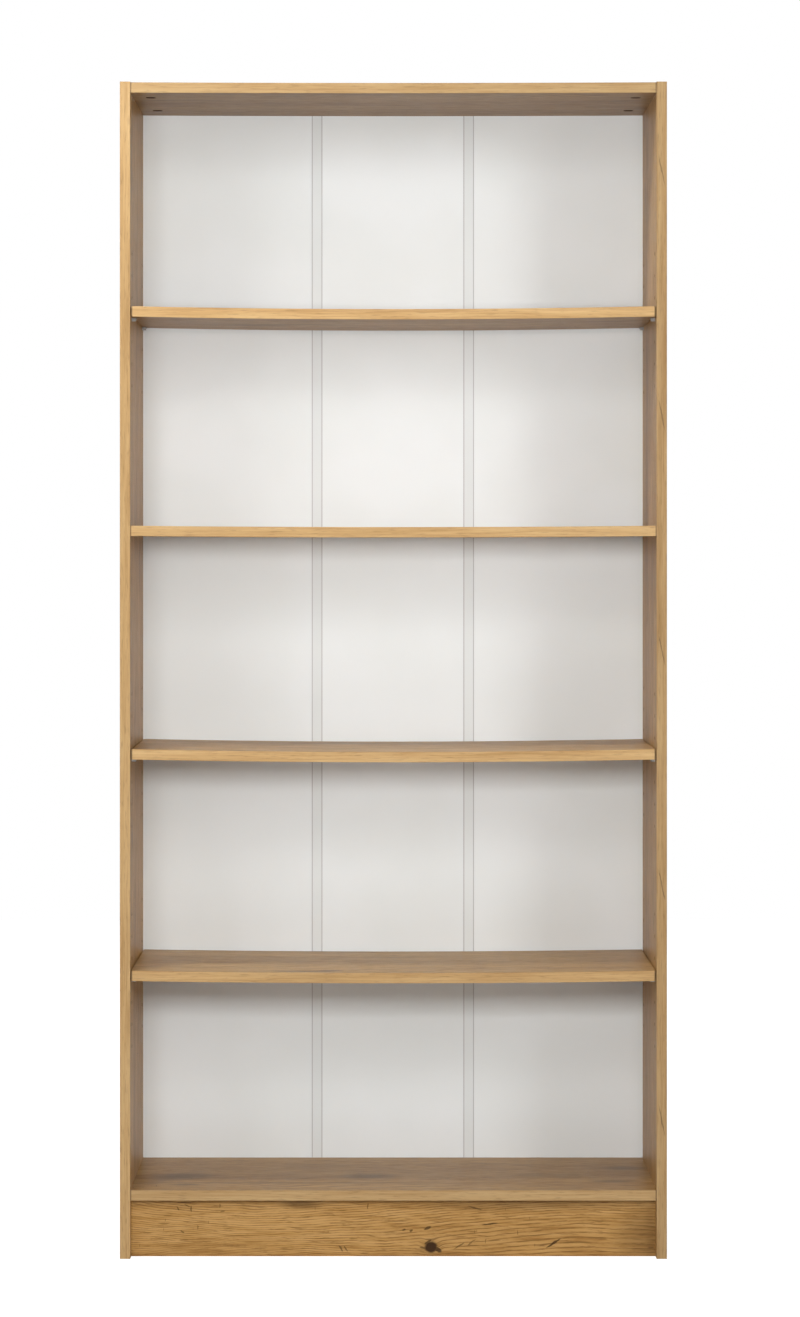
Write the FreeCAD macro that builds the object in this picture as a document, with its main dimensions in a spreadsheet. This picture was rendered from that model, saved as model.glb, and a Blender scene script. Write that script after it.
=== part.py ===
import FreeCAD, Part
import PartDesign
import Sketcher
import math
import os

# Open bookcase: two drilled side panels, a top panel, one fixed shelf and a bottom panel held by
# cam fittings and dowels, three loose shelves resting on twelve metal supports, a plinth, and a
# back of three thin fibreboards joined by two H-profile strips and nailed on.
#
# Frame: millimetres, +Z up, the front faces -Y, the origin lies on the floor under the middle of
# the bookcase.  Every sub-part is drawn from its own lower front left corner and then placed.

DIMENSIONS = [
    ("overall_width", 790, "across the outer faces of the side panels"),
    ("overall_height", 1700, "floor to the top of the side panels"),
    ("overall_depth", 288, "front edges to the rear of the back strips"),
    ("board_thickness", 15, "melamine-faced chipboard"),
    ("edge_band", 1, "front and top edge bands"),
    ("band_round", 0.6, "rounding of the edge bands"),
    ("back_thickness", 3, "fibreboard back panels"),
    ("strip_flange", 1, "thickness of the H-profile flanges"),
    ("strip_width", 16, "width of the H-profile flanges"),
    ("strip_web", 1.2, "web of the H-profile between two panels"),
    ("strip_offset", 115.3, "middle of the bookcase to the middle of a strip"),
    ("strip_clearance", 1.2, "rear edge of a fixed board to the back panels"),
    ("back_margin", 2, "edge of the back to the outer faces of the sides and to the top"),
    ("bottom_level", 84, "underside of the bottom panel"),
    ("fixed_level", 1043.7, "underside of the fixed shelf at its ends"),
    ("top_level", 1684, "underside of the top panel at its ends"),
    ("lower_level", 400.5, "top of the supports under the lower shelf"),
    ("middle_level", 720.5, "top of the supports under the middle shelf"),
    ("upper_level", 1360.5, "top of the supports under the upper shelf"),
    ("lower_bow", 3.2, "sag of the lower shelf at mid span"),
    ("middle_bow", 4, "sag of the middle shelf at mid span"),
    ("upper_bow", 4.2, "sag of the upper shelf at mid span"),
    ("fixed_bow", 2, "sag of the fixed shelf at mid span"),
    ("top_bow", 1, "sag of the top panel at mid span"),
    ("shelf_side_gap", 1.5, "end of a loose shelf to the side panel"),
    ("shelf_front_gap", 2, "front of a loose shelf behind the front of the sides"),
    ("shelf_rear_gap", 3, "rear of a loose shelf to the back panels"),
    ("shelf_lift", 0.33, "end of a bowed shelf above the supports"),
    ("plinth_recess", 20, "front of the plinth behind the front of the sides"),
    ("plinth_dowel_low", 22, "lower dowel of the plinth above the floor"),
    ("plinth_dowel_high", 62, "upper dowel of the plinth above the floor"),
    ("hole_pitch", 32, "distance between two rows of support holes"),
    ("hole_front", 37, "front column of support holes behind the front"),
    ("hole_rear", 261, "rear column of support holes behind the front"),
    ("hole_diameter", 5.4, "support holes"),
    ("hole_deep", 9, "depth of a support hole"),
    ("pin_diameter", 4.8, "shank of a shelf support"),
    ("pin_length", 8, "shank of a shelf support inside its hole"),
    ("paddle_length", 7.5, "reach of a support under the shelf"),
    ("paddle_width", 8, "width of a support under the shelf"),
    ("paddle_thick", 2, "thickness of a support under the shelf"),
    ("pin_drop", 2.4, "axis of the shank below the top of the support"),
    ("rib_width", 1.6, "rib under the paddle of a support"),
    ("rib_height", 2.6, "rib under the paddle, at the side panel"),
    ("cam_diameter", 15, "bore for a cam lock"),
    ("cam_deep", 12.3, "depth of the bore for a cam lock"),
    ("cam_body", 14.6, "diameter of a cam lock"),
    ("cam_height", 10.4, "height of a cam lock"),
    ("cam_recess", 1.5, "open face of a cam lock above the underside of its board"),
    ("cam_slot_long", 8.4, "cross recess of a cam lock, length of a slot"),
    ("cam_slot_wide", 1.6, "cross recess of a cam lock, width of a slot"),
    ("cam_slot_deep", 1.5, "cross recess of a cam lock, depth"),
    ("cam_setback", 26, "middle of a cam lock from the end of its board"),
    ("cam_front", 61, "front cam fittings behind the front"),
    ("cam_rear", 221, "rear cam fittings behind the front"),
    ("bolt_bore", 7.4, "bore for a cam bolt in the end of a board"),
    ("bolt_thread", 5, "thread of a cam bolt"),
    ("bolt_thread_long", 11, "thread of a cam bolt inside the side panel"),
    ("bolt_collar", 6.8, "collar and head of a cam bolt"),
    ("dowel_diameter", 8, "wooden dowels"),
    ("dowel_in_side", 10, "dowel inside the side panel"),
    ("dowel_in_board", 20, "dowel inside the end of a board"),
    ("dowel_front", 93, "front dowels behind the front"),
    ("dowel_rear", 189, "rear dowels behind the front"),
    ("nail_diameter", 1.6, "shank of a back nail"),
    ("nail_length", 17, "back nail, with its head"),
    ("nail_head", 4, "head of a back nail"),
    ("nail_head_thick", 0.8, "head of a back nail"),
    ("nail_first", 130, "lowest nail in a side panel, above the floor"),
    ("nail_step", 182, "distance between the nails in a side panel"),
    ("nail_x_near", 60, "inner nails in a board, from the middle"),
    ("nail_x_middle", 200, "middle nails in a board, from the middle"),
    ("nail_x_far", 310, "outer nails in a board, from the middle"),
]
NAILS_PER_SIDE = 9
ROWS_EACH_WAY = 3
BOW_STEPS = 24

doc = FreeCAD.newDocument("Bookcase")
sheet = doc.addObject("Spreadsheet::Sheet", "Dims")
for row, (alias, number, note) in enumerate(DIMENSIONS, start=1):
    sheet.set("A%d" % row, alias.replace("_", " "))
    sheet.set("B%d" % row, str(number))
    sheet.setAlias("B%d" % row, alias)
    sheet.set("C%d" % row, note)
doc.recompute()


class Size:
    """A length that keeps both its number and the spreadsheet expression that gives it."""

    def __init__(self, value, text):
        self.value = value
        self.text = text

    def __add__(self, other):
        other = as_size(other)
        return Size(self.value + other.value, "(%s + %s)" % (self.text, other.text))

    def __sub__(self, other):
        other = as_size(other)
        return Size(self.value - other.value, "(%s - %s)" % (self.text, other.text))

    def __mul__(self, other):
        other = as_size(other)
        return Size(self.value * other.value, "(%s * %s)" % (self.text, other.text))

    def __truediv__(self, other):
        other = as_size(other)
        return Size(self.value / other.value, "(%s / %s)" % (self.text, other.text))

    def __neg__(self):
        return Size(-self.value, "(0 - %s)" % self.text)


def as_size(value):
    if isinstance(value, Size):
        return value
    return Size(float(value), "(%s)" % value)


NUMBERS = {alias: float(number) for alias, number, note in DIMENSIONS}


def dim(alias):
    return Size(NUMBERS[alias], "Dims." + alias)


ZERO = as_size(0)
THICK = dim("board_thickness")
BAND = dim("edge_band")
HALF_WIDTH = dim("overall_width") / 2
INNER_WIDTH = dim("overall_width") - THICK * 2
INNER_LEFT = THICK - HALF_WIDTH
INNER_RIGHT = HALF_WIDTH - THICK
FRONT = -(dim("overall_depth") / 2)
CORE_FRONT = FRONT + BAND
BACK_FACE = dim("overall_depth") / 2 - dim("strip_flange") - dim("back_thickness")
SIDE_DEPTH = BACK_FACE - CORE_FRONT
BOARD_DEPTH = SIDE_DEPTH - dim("strip_clearance")
SIDE_HEIGHT = dim("overall_height") - BAND
SHELF_LENGTH = INNER_WIDTH - dim("shelf_side_gap") * 2
SHELF_FRONT = FRONT + dim("shelf_front_gap")
SHELF_DEPTH = BACK_FACE - dim("shelf_rear_gap") - SHELF_FRONT - BAND
PLINTH_FRONT = FRONT + dim("plinth_recess")
PLINTH_MIDDLE = PLINTH_FRONT + THICK / 2
BACK_BOTTOM = dim("bottom_level") + dim("back_margin")
BACK_TOP = dim("overall_height") - BAND - dim("back_margin")
BACK_EDGE = HALF_WIDTH - dim("back_margin")

ACROSS = FreeCAD.Vector(1, 0, 0)
VERTICAL = FreeCAD.Vector(0, 0, 1)

# Underside level at the ends and sag at mid span of every board between the side panels.
FIXED_BOARDS = {
    "top_panel": (dim("top_level"), dim("top_bow")),
    "fixed_shelf": (dim("fixed_level"), dim("fixed_bow")),
    "bottom_panel": (dim("bottom_level"), None),
}
LOOSE_SHELVES = {
    "shelf_upper": (dim("upper_level"), dim("upper_bow")),
    "shelf_middle": (dim("middle_level"), dim("middle_bow")),
    "shelf_lower": (dim("lower_level"), dim("lower_bow")),
}
CAM_DEPTHS = {"front": dim("cam_front"), "rear": dim("cam_rear")}
DOWEL_DEPTHS = {"front": dim("dowel_front"), "rear": dim("dowel_rear")}
HOLE_DEPTHS = {"front": dim("hole_front"), "rear": dim("hole_rear")}


def place(item, x, y, z):
    """Bind the position of an object to the spreadsheet."""
    for axis, size in zip("xyz", (x, y, z)):
        item.setExpression("Placement.Base." + axis, as_size(size).text)


def bind(item, name, size):
    item.setExpression(name, as_size(size).text)


# ---------------------------------------------------------------- bodies drawn with sketches


def new_body(label):
    body = doc.addObject("PartDesign::Body", label)
    body.Label = label
    return body


def sketch_on(body, role, name, offset=None):
    """A sketch lying on a plane of the body's origin, moved along the plane's normal."""
    sketch = body.newObject("Sketcher::SketchObject", name)
    plane = [feature for feature in body.Origin.OriginFeatures if feature.Role == role][0]
    sketch.AttachmentSupport = (plane, [""])
    sketch.MapMode = "FlatFace"
    if offset is not None:
        bind(sketch, "AttachmentOffset.Base.z", offset)
    return sketch


def locate(sketch, geometry, point, x, y):
    """Fix one point of a sketch at the distances x and y from the sketch's origin."""
    for kind, size in (("DistanceX", x), ("DistanceY", y)):
        size = as_size(size)
        index = sketch.addConstraint(Sketcher.Constraint(kind, -1, 1, geometry, point, size.value))
        bind(sketch, "Constraints[%d]" % index, size)


def draw_outline(sketch, corners):
    """A closed outline of straight lines, every corner located by two sizes."""
    points = [FreeCAD.Vector(as_size(x).value, as_size(y).value, 0) for x, y in corners]
    count = len(corners)
    for i in range(count):
        sketch.addGeometry(Part.LineSegment(points[i], points[(i + 1) % count]), False)
    for i in range(count):
        following = (i + 1) % count
        sketch.addConstraint(Sketcher.Constraint("Coincident", i, 2, following, 1))
        locate(sketch, i, 1, *corners[i])


def draw_bowed(sketch, length, bow):
    """A board seen from the front: both faces hang down in a shallow curve of short facets."""
    lower = []
    upper = []
    for step in range(BOW_STEPS + 1):
        share = step / BOW_STEPS
        hang = -bow * round(4 * share * (1 - share), 6)
        lower.append((length * share, hang))
        upper.append((length * share, THICK + hang))
    draw_outline(sketch, lower + upper[::-1])


def pad(body, sketch, size, reverse=False):
    feature = body.newObject("PartDesign::Pad", body.Label + "_pad")
    feature.Profile = sketch
    sketch.Visibility = False
    bind(feature, "Length", size)
    feature.Reversed = reverse
    doc.recompute()
    return feature


def slab(label, width, depth, height, x, y, z):
    """A straight board or strip: rectangle in plan, padded upwards."""
    body = new_body(label)
    sketch = sketch_on(body, "XY_Plane", label + "_plan")
    draw_outline(sketch, [(ZERO, ZERO), (width, ZERO), (width, depth), (ZERO, depth)])
    pad(body, sketch, height)
    place(body, x, y, z)
    return body


def bowed_slab(label, length, depth, bow, x, y, z):
    """A sagging board: bowed outline seen from the front, padded towards the back."""
    body = new_body(label)
    sketch = sketch_on(body, "XZ_Plane", label + "_front")
    draw_bowed(sketch, length, bow)
    pad(body, sketch, depth, reverse=True)
    place(body, x, y, z)
    return body


def round_front(body, direction):
    """Round the two long edges on the front face of an edge band that runs along a direction."""
    tip = body.Tip
    names = []
    for index, edge in enumerate(tip.Shape.Edges, start=1):
        on_front = all(abs(vertex.Point.y) < 1e-6 for vertex in edge.Vertexes)
        along = edge.Vertexes[1].Point - edge.Vertexes[0].Point
        if on_front and abs(along.dot(direction)) > edge.Length * 0.9:
            names.append("Edge%d" % index)
    feature = body.newObject("PartDesign::Fillet", body.Label + "_round")
    feature.Base = (tip, names)
    bind(feature, "Radius", dim("band_round"))
    doc.recompute()
    body.Tip = feature


def drill(body, name, role, offset, points, diameter, deep, reverse=False):
    """Drill round holes at the given points of a plane; the material removed is checked."""
    before = body.Shape.Volume
    sketch = sketch_on(body, role, body.Label + "_" + name + "_layout", offset)
    for index, (x, y) in enumerate(points):
        centre = FreeCAD.Vector(as_size(x).value, as_size(y).value, 0)
        circle = Part.Circle(centre, FreeCAD.Vector(0, 0, 1), diameter.value / 2)
        sketch.addGeometry(circle, False)
        locate(sketch, index, 3, x, y)
        if index == 0:
            made = sketch.addConstraint(Sketcher.Constraint("Diameter", 0, diameter.value))
            bind(sketch, "Constraints[%d]" % made, diameter)
        else:
            sketch.addConstraint(Sketcher.Constraint("Equal", 0, index))
    feature = body.newObject("PartDesign::Pocket", body.Label + "_" + name)
    feature.Profile = sketch
    sketch.Visibility = False
    bind(feature, "Length", deep)
    feature.Reversed = reverse
    doc.recompute()
    removed = before - body.Shape.Volume
    if removed < 0.2 * len(points) * math.pi * diameter.value ** 2 / 4 * min(deep.value, 3):
        raise RuntimeError("%s removes too little from %s: %.1f" % (name, body.Label, removed))


# ---------------------------------------------------------------- side panels

NAIL_LEVELS = [dim("nail_first") + dim("nail_step") * i for i in range(NAILS_PER_SIDE)]
NAIL_XS = [dim(name) for name in ("nail_x_near", "nail_x_middle", "nail_x_far")]
NAIL_DEEP = dim("nail_length") - dim("back_thickness")


def support_levels(level):
    """Rows of support holes around the row that carries a loose shelf."""
    axis = level - dim("pin_drop")
    return [axis + dim("hole_pitch") * step for step in range(-ROWS_EACH_WAY, ROWS_EACH_WAY + 1)]


def side_panel(label, x, inner_face, reverse):
    body = slab(label, THICK, SIDE_DEPTH, SIDE_HEIGHT, x, CORE_FRONT, ZERO)
    for shelf, (level, bow) in LOOSE_SHELVES.items():
        layout = []
        for depth in HOLE_DEPTHS.values():
            layout += [(depth - BAND, height) for height in support_levels(level)]
        drill(body, shelf + "_holes", "YZ_Plane", inner_face, layout, dim("hole_diameter"),
              dim("hole_deep"), reverse)
    bolts = []
    dowels = []
    for level, bow in FIXED_BOARDS.values():
        bolts += [(depth - BAND, level + THICK / 2) for depth in CAM_DEPTHS.values()]
        dowels += [(depth - BAND, level + THICK / 2) for depth in DOWEL_DEPTHS.values()]
    for height in (dim("plinth_dowel_low"), dim("plinth_dowel_high")):
        dowels.append((PLINTH_MIDDLE - CORE_FRONT, height))
    drill(body, "bolt_holes", "YZ_Plane", inner_face, bolts, dim("bolt_thread"),
          dim("bolt_thread_long"), reverse)
    drill(body, "dowel_holes", "YZ_Plane", inner_face, dowels, dim("dowel_diameter"),
          dim("dowel_in_side"), reverse)
    nails = [(THICK / 2, height) for height in NAIL_LEVELS]
    drill(body, "nail_holes", "XZ_Plane", -SIDE_DEPTH, nails, dim("nail_diameter"), NAIL_DEEP,
          reverse=True)
    return body


def side_bands(side, x):
    """The strip on the front edge and the strip on the top end of a side panel."""
    height = dim("overall_height")
    front = slab("side_front_edge_" + side, THICK, BAND, height, x, FRONT, ZERO)
    round_front(front, VERTICAL)
    slab("side_top_edge_" + side, THICK, SIDE_DEPTH, BAND, x, CORE_FRONT, SIDE_HEIGHT)


side_panel("side_panel_left", -HALF_WIDTH, THICK, False)
side_panel("side_panel_right", INNER_RIGHT, ZERO, True)
side_bands("left", -HALF_WIDTH)
side_bands("right", INNER_RIGHT)


# ---------------------------------------------------------------- fixed boards


def fixed_board(label, level, bow):
    """A board between the sides, drilled in both ends, from below and from behind."""
    if bow is None:
        body = slab(label, INNER_WIDTH, BOARD_DEPTH, THICK, INNER_LEFT, CORE_FRONT, level)
        edge = slab(label + "_edge", INNER_WIDTH, BAND, THICK, INNER_LEFT, FRONT, level)
        sag = ZERO
    else:
        body = bowed_slab(label, INNER_WIDTH, BOARD_DEPTH, bow, INNER_LEFT, CORE_FRONT, level)
        edge = bowed_slab(label + "_edge", INNER_WIDTH, BAND, bow, INNER_LEFT, FRONT, level)
        sag = bow
    round_front(edge, ACROSS)
    mid = THICK / 2
    bolts = [(depth - BAND, mid) for depth in CAM_DEPTHS.values()]
    dowels = [(depth - BAND, mid) for depth in DOWEL_DEPTHS.values()]
    for end, face, reverse in (("left", ZERO, True), ("right", INNER_WIDTH, False)):
        drill(body, "bolt_bores_" + end, "YZ_Plane", face, bolts, dim("bolt_bore"),
              dim("cam_setback"), reverse)
        drill(body, "dowel_bores_" + end, "YZ_Plane", face, dowels, dim("dowel_diameter"),
              dim("dowel_in_board") + 1, reverse)
    cams = []
    for x in (dim("cam_setback"), INNER_WIDTH - dim("cam_setback")):
        cams += [(x, depth - BAND) for depth in CAM_DEPTHS.values()]
    drill(body, "cam_bores", "XY_Plane", dim("cam_deep"), cams, dim("cam_diameter"),
          dim("cam_deep") + sag + 1)
    nails = []
    for x in NAIL_XS:
        nails += [(INNER_WIDTH / 2 + x, mid - sag / 2), (INNER_WIDTH / 2 - x, mid - sag / 2)]
    drill(body, "nail_holes", "XZ_Plane", -BOARD_DEPTH, nails, dim("nail_diameter"),
          NAIL_DEEP - dim("strip_clearance"), reverse=True)
    return body


for board, (board_level, board_bow) in FIXED_BOARDS.items():
    fixed_board(board, board_level, board_bow)

plinth = slab("plinth", INNER_WIDTH, THICK, dim("bottom_level"), INNER_LEFT, PLINTH_FRONT, ZERO)
PLINTH_DOWELS = [(THICK / 2, dim(name)) for name in ("plinth_dowel_low", "plinth_dowel_high")]
for plinth_end, plinth_face, turned in (("left", ZERO, True), ("right", INNER_WIDTH, False)):
    drill(plinth, "dowel_bores_" + plinth_end, "YZ_Plane", plinth_face, PLINTH_DOWELS,
          dim("dowel_diameter"), dim("dowel_in_board") + 1, turned)


# ---------------------------------------------------------------- loose shelves

for shelf_name, (shelf_level, shelf_bow) in LOOSE_SHELVES.items():
    shelf_x = INNER_LEFT + dim("shelf_side_gap")
    shelf_z = shelf_level + dim("shelf_lift")
    bowed_slab(shelf_name, SHELF_LENGTH, SHELF_DEPTH, shelf_bow, shelf_x, SHELF_FRONT + BAND,
               shelf_z)
    shelf_edge = bowed_slab(shelf_name + "_edge", SHELF_LENGTH, BAND, shelf_bow, shelf_x,
                            SHELF_FRONT, shelf_z)
    round_front(shelf_edge, ACROSS)


# ---------------------------------------------------------------- back panels and strips

BACK_HEIGHT = BACK_TOP - BACK_BOTTOM
SEAM = dim("strip_web") / 2 + 0.1
BOARD_NAIL_LEVELS = [level + THICK / 2 - (ZERO if bow is None else bow / 2)
                     for level, bow in FIXED_BOARDS.values()]
SIDE_NAIL_X = HALF_WIDTH - THICK / 2


def back_panel(label, left, right, nails):
    """One thin board of the back with its nail holes; nails are given in the row frame."""
    body = slab(label, right - left, dim("back_thickness"), BACK_HEIGHT, left, BACK_FACE,
                BACK_BOTTOM)
    layout = [(x - left, z - BACK_BOTTOM) for x, z in nails]
    rear = -dim("back_thickness")
    drill(body, "nail_holes", "XZ_Plane", rear, layout, dim("nail_diameter"),
          dim("back_thickness"), reverse=True)
    drill(body, "nail_seats", "XZ_Plane", rear, layout, dim("nail_head"), dim("nail_head_thick"),
          reverse=True)


SIDE_NAILS = [(SIDE_NAIL_X, z) for z in NAIL_LEVELS]
OUTER_NAILS = [(x, z) for z in BOARD_NAIL_LEVELS for x in NAIL_XS[1:]]
LEFT_NAILS = [(-x, z) for x, z in SIDE_NAILS + OUTER_NAILS]
RIGHT_NAILS = SIDE_NAILS + OUTER_NAILS
CENTRE_NAILS = [(x, z) for z in BOARD_NAIL_LEVELS for x in (-NAIL_XS[0], NAIL_XS[0])]
back_panel("back_panel_left", -BACK_EDGE, -dim("strip_offset") - SEAM, LEFT_NAILS)
back_panel("back_panel_centre", SEAM - dim("strip_offset"), dim("strip_offset") - SEAM,
           CENTRE_NAILS)
back_panel("back_panel_right", dim("strip_offset") + SEAM, BACK_EDGE, RIGHT_NAILS)


def back_strip(label, middle):
    """H-profile: two flanges and a web, padded to the full height of the back."""
    body = new_body(label)
    sketch = sketch_on(body, "XY_Plane", label + "_profile")
    flange = dim("strip_flange")
    wide = dim("strip_width")
    web_left = (wide - dim("strip_web")) / 2
    web_right = (wide + dim("strip_web")) / 2
    inner = flange + dim("back_thickness")
    outer = inner + flange
    draw_outline(sketch, [
        (ZERO, ZERO), (wide, ZERO), (wide, flange), (web_right, flange),
        (web_right, inner), (wide, inner), (wide, outer), (ZERO, outer),
        (ZERO, inner), (web_left, inner), (web_left, flange), (ZERO, flange),
    ])
    pad(body, sketch, BACK_HEIGHT)
    place(body, middle - wide / 2, BACK_FACE - flange, BACK_BOTTOM)


back_strip("back_strip_left", -dim("strip_offset"))
back_strip("back_strip_right", dim("strip_offset"))


# ---------------------------------------------------------------- fittings made of primitives

ALONG_X = FreeCAD.Rotation(FreeCAD.Vector(0, 1, 0), 90)
ALONG_Y = FreeCAD.Rotation(FreeCAD.Vector(1, 0, 0), -90)
UPRIGHT = FreeCAD.Rotation()


def cylinder(name, diameter, length, x, y, z, turn):
    item = doc.addObject("Part::Cylinder", name)
    item.Placement = FreeCAD.Placement(FreeCAD.Vector(), turn)
    bind(item, "Radius", diameter / 2)
    bind(item, "Height", length)
    place(item, x, y, z)
    return item


def box(name, length, width, height, x, y, z):
    item = doc.addObject("Part::Box", name)
    bind(item, "Length", length)
    bind(item, "Width", width)
    bind(item, "Height", height)
    place(item, x, y, z)
    return item


def fuse(name, items):
    item = doc.addObject("Part::MultiFuse", name)
    item.Shapes = items
    return item


def cut(name, base, tool):
    item = doc.addObject("Part::Cut", name)
    item.Base = base
    item.Tool = tool
    return item


def group(label, items):
    """Several separate solids that form one named sub-part."""
    item = doc.addObject("Part::Compound", label)
    item.Label = label
    item.Links = items
    return item


def cam_lock(name, x, y, level, towards_end):
    """Zinc drum with a pocket for the bolt head and a cross recess in its open face."""
    base = level + dim("cam_recess")
    drum = cylinder(name + "_drum", dim("cam_body"), dim("cam_height"), x, y, base, UPRIGHT)
    pocket_wide = dim("bolt_collar") + 0.8
    pocket_long = dim("cam_body")
    pocket_x = x - 2.5 if towards_end > 0 else x + 2.5 - pocket_long
    pocket = box(name + "_pocket", pocket_long, pocket_wide, dim("cam_height"), pocket_x,
                 y - pocket_wide / 2, level + THICK / 2 - pocket_wide / 2)
    slot_long = dim("cam_slot_long")
    slot_wide = dim("cam_slot_wide")
    slot_deep = dim("cam_slot_deep")
    first = box(name + "_slot_a", slot_long, slot_wide, slot_deep, x - slot_long / 2,
                y - slot_wide / 2, base)
    second = box(name + "_slot_b", slot_wide, slot_long, slot_deep, x - slot_wide / 2,
                 y - slot_long / 2, base)
    return cut(name, drum, fuse(name + "_cuts", [pocket, first, second]))


def cam_bolt(name, x, y, z, into_board):
    """Steel bolt: thread in the side panel, collar at the joint, neck and head in the cam."""
    stages = [
        (-dim("bolt_thread_long") + 0.3, ZERO, dim("bolt_thread")),
        (ZERO, as_size(3), dim("bolt_collar")),
        (as_size(3), as_size(19), dim("bolt_thread")),
        (as_size(19), dim("cam_setback") - 2.5, as_size(3.6)),
        (dim("cam_setback") - 2.5, dim("cam_setback") + 0.8, dim("bolt_collar")),
    ]
    parts = []
    for index, (start, stop, diameter) in enumerate(stages):
        foot = x + start if into_board > 0 else x - stop
        parts.append(cylinder("%s_stage%d" % (name, index), diameter, stop - start, foot, y, z,
                              ALONG_X))
    return fuse(name, parts)


def dowel(name, x, y, z, into_board):
    """Beech dowel with chamfered ends across the joint between a side and a board."""
    start = dim("dowel_in_side") if into_board > 0 else dim("dowel_in_board")
    plain = cylinder(name + "_rod", dim("dowel_diameter"),
                     dim("dowel_in_side") + dim("dowel_in_board"), x - start, y, z, ALONG_X)
    item = doc.addObject("Part::Chamfer", name)
    item.Base = plain
    item.Edges = [(2, 0.8, 0.8), (3, 0.8, 0.8)]
    return item


ENDS = {"left": (INNER_LEFT, 1), "right": (INNER_RIGHT, -1)}

for board, (board_level, board_bow) in FIXED_BOARDS.items():
    locks = []
    bolts = []
    dowels = []
    for end, (wall, inward) in ENDS.items():
        for where, depth in CAM_DEPTHS.items():
            tag = "%s_%s_%s" % (board, end, where)
            lock_x = wall + dim("cam_setback") * inward
            locks.append(cam_lock("cam_lock_" + tag, lock_x, FRONT + depth, board_level,
                                  -inward))
            bolts.append(cam_bolt("cam_bolt_" + tag, wall, FRONT + depth,
                                  board_level + THICK / 2, inward))
        for where, depth in DOWEL_DEPTHS.items():
            tag = "%s_%s_%s" % (board, end, where)
            dowels.append(dowel("dowel_" + tag, wall, FRONT + depth, board_level + THICK / 2,
                                inward))
    group("cam_locks_" + board, locks)
    group("cam_bolts_" + board, bolts)
    group("dowels_" + board, dowels)

plinth_dowels = []
for end, (wall, inward) in ENDS.items():
    for where in ("low", "high"):
        plinth_dowels.append(dowel("dowel_plinth_%s_%s" % (end, where), wall, PLINTH_MIDDLE,
                                   dim("plinth_dowel_" + where), inward))
group("dowels_plinth", plinth_dowels)

nails = []
for index, (nail_x, nail_z) in enumerate(LEFT_NAILS + CENTRE_NAILS + RIGHT_NAILS):
    rear_face = BACK_FACE + dim("back_thickness")
    shank = cylinder("nail_shank_%d" % index, dim("nail_diameter"), dim("nail_length"), nail_x,
                     rear_face - dim("nail_length"), nail_z, ALONG_Y)
    head = cylinder("nail_head_%d" % index, dim("nail_head"), dim("nail_head_thick"), nail_x,
                    rear_face - dim("nail_head_thick"), nail_z, ALONG_Y)
    nails.append(fuse("nail_%d" % index, [shank, head]))
group("back_nails", nails)


def shelf_support(label, wall, inward, y, level):
    """Metal support: shank in the side panel, flat paddle under the shelf, rib below it."""
    shank_x = wall - dim("pin_length") if inward > 0 else wall
    shank = cylinder(label + "_shank", dim("pin_diameter"), dim("pin_length"), shank_x, y,
                     level - dim("pin_drop"), ALONG_X)
    tip = doc.addObject("Part::Chamfer", label + "_shank_tip")
    tip.Base = shank
    tip.Edges = [(2 if inward > 0 else 3, 0.6, 0.6)]
    long = dim("paddle_length")
    paddle_x = wall if inward > 0 else wall - long
    paddle = box(label + "_blank", long, dim("paddle_width"), dim("paddle_thick"), paddle_x,
                 y - dim("paddle_width") / 2, level - dim("paddle_thick"))
    rounded = doc.addObject("Part::Fillet", label + "_paddle")
    rounded.Base = paddle
    free_corners = (5, 7) if inward > 0 else (1, 3)
    rounded.Edges = [(corner, 2.5, 2.5) for corner in free_corners]
    rib = doc.addObject("Part::Wedge", label + "_rib")
    rib.Placement = FreeCAD.Placement(FreeCAD.Vector(), UPRIGHT)
    rib_long = long - 1.5
    low = -dim("rib_height")
    # The wedge is full length at the paddle (its top) and has no length at its lower edge.
    bind(rib, "Xmin", ZERO)
    bind(rib, "Xmax", rib_long)
    bind(rib, "Ymin", ZERO)
    bind(rib, "Ymax", dim("rib_width"))
    bind(rib, "Zmin", low)
    bind(rib, "Zmax", ZERO)
    edge_x = ZERO if inward > 0 else rib_long - 0.8
    bind(rib, "X2min", edge_x)
    bind(rib, "X2max", edge_x + 0.8)
    bind(rib, "Z2min", low)
    bind(rib, "Z2max", ZERO)
    place(rib, wall if inward > 0 else wall - rib_long, y - dim("rib_width") / 2,
          level - dim("paddle_thick"))
    item = fuse(label, [tip, rounded, rib])
    item.Label = label
    return item


for shelf_name, (shelf_level, shelf_bow) in LOOSE_SHELVES.items():
    for end, (wall, inward) in ENDS.items():
        for where, depth in HOLE_DEPTHS.items():
            label = "%s_support_%s_%s" % (shelf_name.replace("shelf_", ""), end, where)
            shelf_support(label, wall, inward, FRONT + depth, shelf_level)

doc.recompute()


# ---------------------------------------------------------------- checks and export

NODES = [
    "side_panel_left", "side_panel_right", "side_front_edge_left", "side_front_edge_right",
    "side_top_edge_left", "side_top_edge_right", "plinth", "back_panel_left",
    "back_panel_centre", "back_panel_right", "back_strip_left", "back_strip_right",
    "dowels_plinth", "back_nails",
]
for board in FIXED_BOARDS:
    NODES += [board, board + "_edge", "cam_locks_" + board, "cam_bolts_" + board,
              "dowels_" + board]
for shelf_name in LOOSE_SHELVES:
    NODES += [shelf_name, shelf_name + "_edge"]
    for end in ENDS:
        for where in HOLE_DEPTHS:
            NODES.append("%s_support_%s_%s" % (shelf_name.replace("shelf_", ""), end, where))

for item in doc.Objects:
    if "Invalid" in item.State or "Error" in item.State:
        raise RuntimeError("%s is in state %s" % (item.Name, item.State))

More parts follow.
